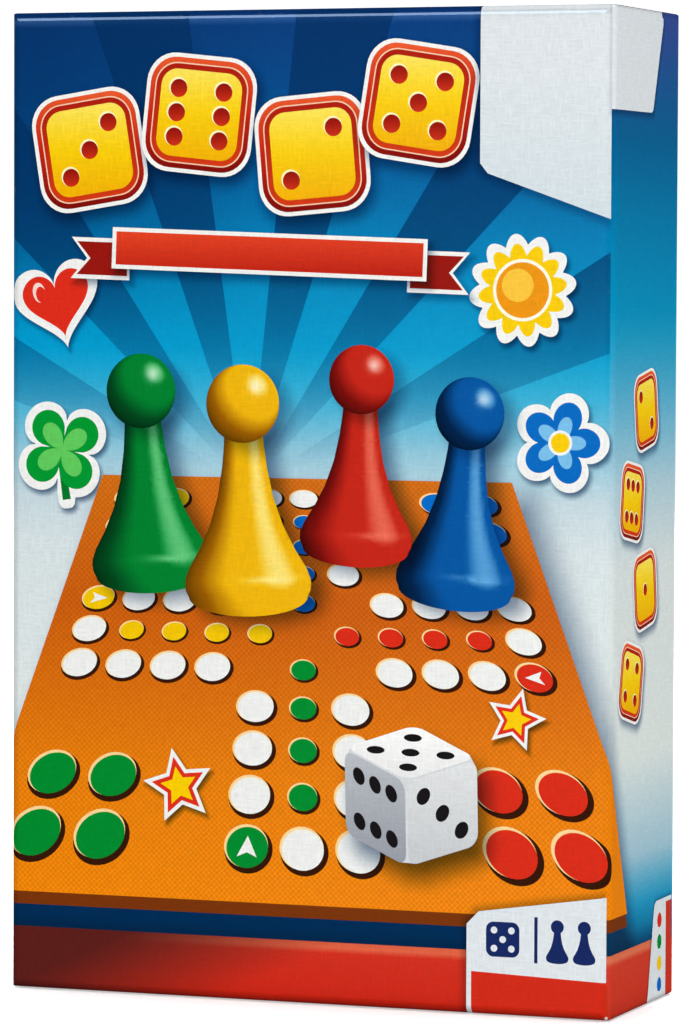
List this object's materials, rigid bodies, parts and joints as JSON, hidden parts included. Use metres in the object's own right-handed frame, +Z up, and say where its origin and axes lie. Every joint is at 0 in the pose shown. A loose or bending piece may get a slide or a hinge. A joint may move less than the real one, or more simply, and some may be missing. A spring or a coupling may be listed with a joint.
{
  "type": "ludo board game",
  "caption": "Travel ludo game in a paper-wrapped box with a lift-off lid, holding a folding board, rules leaflet, coloured pawns and a die on a folded card inlay.",
  "frame": {"origin": "middle of the standing face: the box stands on its lower short wall, as on a shop shelf", "axes": "+Z up along the height of the front, +X to the right along its width, -Y out of the front, +Y out of the back"},
  "size_m": [0.129, 0.0444, 0.2],
  "materials": {
    "cover_print": "satin linen-embossed printed paper",
    "base_print": "satin linen-embossed printed paper",
    "greyboard": "bare solid grey board",
    "inlay_card": "white solid folding card",
    "playing_print": "satin printed paper",
    "board_lining": "linen-embossed lining paper",
    "leaflet_paper": "uncoated white paper",
    "die_plastic": "polished white plastic",
    "pawn_yellow": "moulded glossy plastic",
    "pawn_red": "moulded glossy plastic",
    "pawn_blue": "moulded glossy plastic",
    "pawn_green": "moulded glossy plastic"
  },
  "bodies": {
    "base": {"base_tray": "greyboard", "base_wrap": "base_print", "card_inlay": "inlay_card"},
    "lid": {"lid_tray": "greyboard", "lid_wrap": "cover_print"},
    "board_back_leaf": {"back_leaf_core": "greyboard", "back_leaf_play_sheet": "playing_print", "back_leaf_lining": "board_lining", "board_crease": "playing_print"},
    "board_front_leaf": {"front_leaf_core": "greyboard", "front_leaf_play_sheet": "playing_print", "front_leaf_lining": "board_lining"},
    "leaflet": {"rules_leaflet": "leaflet_paper"},
    "die_body": {"die": "die_plastic"},
    "pawn_yellow_1": {"pawn_yellow_1": "pawn_yellow"},
    "pawn_yellow_2": {"pawn_yellow_2": "pawn_yellow"},
    "pawn_yellow_3": {"pawn_yellow_3": "pawn_yellow"},
    "pawn_yellow_4": {"pawn_yellow_4": "pawn_yellow"},
    "pawn_red_1": {"pawn_red_1": "pawn_red"},
    "pawn_red_2": {"pawn_red_2": "pawn_red"},
    "pawn_red_3": {"pawn_red_3": "pawn_red"},
    "pawn_red_4": {"pawn_red_4": "pawn_red"},
    "pawn_blue_1": {"pawn_blue_1": "pawn_blue"},
    "pawn_blue_2": {"pawn_blue_2": "pawn_blue"},
    "pawn_blue_3": {"pawn_blue_3": "pawn_blue"},
    "pawn_blue_4": {"pawn_blue_4": "pawn_blue"},
    "pawn_green_1": {"pawn_green_1": "pawn_green"},
    "pawn_green_2": {"pawn_green_2": "pawn_green"},
    "pawn_green_3": {"pawn_green_3": "pawn_green"},
    "pawn_green_4": {"pawn_green_4": "pawn_green"}
  },
  "joints": [
    {"name": "lid_lift", "type": "slide", "parent": "base", "child": "lid", "axis": [0, -1, 0], "range_m": [0, 0.42]},
    {"name": "board_out", "type": "slide", "parent": "base", "child": "board_back_leaf", "axis": [0, -1, 0], "range_m": [0, 0.08]},
    {"name": "board_fold", "type": "hinge", "parent": "board_back_leaf", "child": "board_front_leaf", "pos_m": [-0.0475, -0.01755, 0.0992], "axis": [0, 0, -1], "range_deg": [0, 180]},
    {"name": "leaflet_out", "type": "slide", "parent": "base", "child": "leaflet", "axis": [0, -1, 0], "range_m": [0, 0.0674]},
    {"name": "die_out", "type": "slide", "parent": "base", "child": "die_body", "axis": [0, -1, 0], "range_m": [0, 0.0485]},
    {"name": "pawn_yellow_1_out", "type": "slide", "parent": "base", "child": "pawn_yellow_1", "axis": [0, -1, 0], "range_m": [0, 0.0401]},
    {"name": "pawn_yellow_2_out", "type": "slide", "parent": "base", "child": "pawn_yellow_2", "axis": [0, -1, 0], "range_m": [0, 0.0569]},
    {"name": "pawn_yellow_3_out", "type": "slide", "parent": "base", "child": "pawn_yellow_3", "axis": [0, -1, 0], "range_m": [0, 0.0401]},
    {"name": "pawn_yellow_4_out", "type": "slide", "parent": "base", "child": "pawn_yellow_4", "axis": [0, -1, 0], "range_m": [0, 0.0569]},
    {"name": "pawn_red_1_out", "type": "slide", "parent": "base", "child": "pawn_red_1", "axis": [0, -1, 0], "range_m": [0, 0.0401]},
    {"name": "pawn_red_2_out", "type": "slide", "parent": "base", "child": "pawn_red_2", "axis": [0, -1, 0], "range_m": [0, 0.0569]},
    {"name": "pawn_red_3_out", "type": "slide", "parent": "base", "child": "pawn_red_3", "axis": [0, -1, 0], "range_m": [0, 0.0401]},
    {"name": "pawn_red_4_out", "type": "slide", "parent": "base", "child": "pawn_red_4", "axis": [0, -1, 0], "range_m": [0, 0.0569]},
    {"name": "pawn_blue_1_out", "type": "slide", "parent": "base", "child": "pawn_blue_1", "axis": [0, -1, 0], "range_m": [0, 0.0401]},
    {"name": "pawn_blue_2_out", "type": "slide", "parent": "base", "child": "pawn_blue_2", "axis": [0, -1, 0], "range_m": [0, 0.0569]},
    {"name": "pawn_blue_3_out", "type": "slide", "parent": "base", "child": "pawn_blue_3", "axis": [0, -1, 0], "range_m": [0, 0.0401]},
    {"name": "pawn_blue_4_out", "type": "slide", "parent": "base", "child": "pawn_blue_4", "axis": [0, -1, 0], "range_m": [0, 0.0569]},
    {"name": "pawn_green_1_out", "type": "slide", "parent": "base", "child": "pawn_green_1", "axis": [0, -1, 0], "range_m": [0, 0.0401]},
    {"name": "pawn_green_2_out", "type": "slide", "parent": "base", "child": "pawn_green_2", "axis": [0, -1, 0], "range_m": [0, 0.0569]},
    {"name": "pawn_green_3_out", "type": "slide", "parent": "base", "child": "pawn_green_3", "axis": [0, -1, 0], "range_m": [0, 0.0401]},
    {"name": "pawn_green_4_out", "type": "slide", "parent": "base", "child": "pawn_green_4", "axis": [0, -1, 0], "range_m": [0, 0.0569]}
  ],
  "couplings": [
    {"joint": "board_out", "follows": "lid_lift", "ratio": 0.19},
    {"joint": "board_fold", "follows": "lid_lift", "rad_per_m": 7.479},
    {"joint": "leaflet_out", "follows": "lid_lift", "ratio": 0.16},
    {"joint": "die_out", "follows": "lid_lift", "ratio": 0.115},
    {"joint": "pawn_yellow_1_out", "follows": "lid_lift", "ratio": 0.095},
    {"joint": "pawn_yellow_2_out", "follows": "lid_lift", "ratio": 0.135},
    {"joint": "pawn_yellow_3_out", "follows": "lid_lift", "ratio": 0.095},
    {"joint": "pawn_yellow_4_out", "follows": "lid_lift", "ratio": 0.135},
    {"joint": "pawn_red_1_out", "follows": "lid_lift", "ratio": 0.095},
    {"joint": "pawn_red_2_out", "follows": "lid_lift", "ratio": 0.135},
    {"joint": "pawn_red_3_out", "follows": "lid_lift", "ratio": 0.095},
    {"joint": "pawn_red_4_out", "follows": "lid_lift", "ratio": 0.135},
    {"joint": "pawn_blue_1_out", "follows": "lid_lift", "ratio": 0.095},
    {"joint": "pawn_blue_2_out", "follows": "lid_lift", "ratio": 0.135},
    {"joint": "pawn_blue_3_out", "follows": "lid_lift", "ratio": 0.095},
    {"joint": "pawn_blue_4_out", "follows": "lid_lift", "ratio": 0.135},
    {"joint": "pawn_green_1_out", "follows": "lid_lift", "ratio": 0.095},
    {"joint": "pawn_green_2_out", "follows": "lid_lift", "ratio": 0.135},
    {"joint": "pawn_green_3_out", "follows": "lid_lift", "ratio": 0.095},
    {"joint": "pawn_green_4_out", "follows": "lid_lift", "ratio": 0.135}
  ]
}
